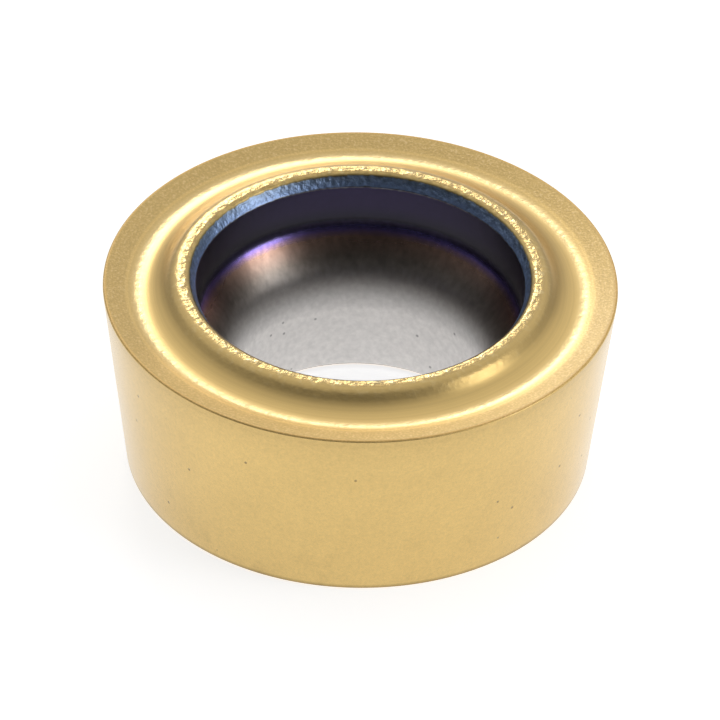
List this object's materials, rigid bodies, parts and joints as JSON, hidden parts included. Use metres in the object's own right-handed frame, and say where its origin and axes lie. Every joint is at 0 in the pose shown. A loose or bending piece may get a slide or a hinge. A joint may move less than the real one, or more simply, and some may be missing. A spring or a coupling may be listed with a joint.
{
  "type": "round milling insert",
  "caption": "Round positive milling insert with a tapered flank, a ring-shaped chip breaker and a countersunk bore for its clamping screw, in sintered carbide with a gold coating.",
  "frame": {"origin": "centre of the seat face, on the axis of the insert", "axes": "+Z along the axis of the insert, from the seat face towards the rake face"},
  "size_m": [0.01, 0.01, 0.0042],
  "materials": {
    "coated_carbide": null
  },
  "bodies": {
    "root": {"round_insert": "coated_carbide"}
  },
  "joints": []
}
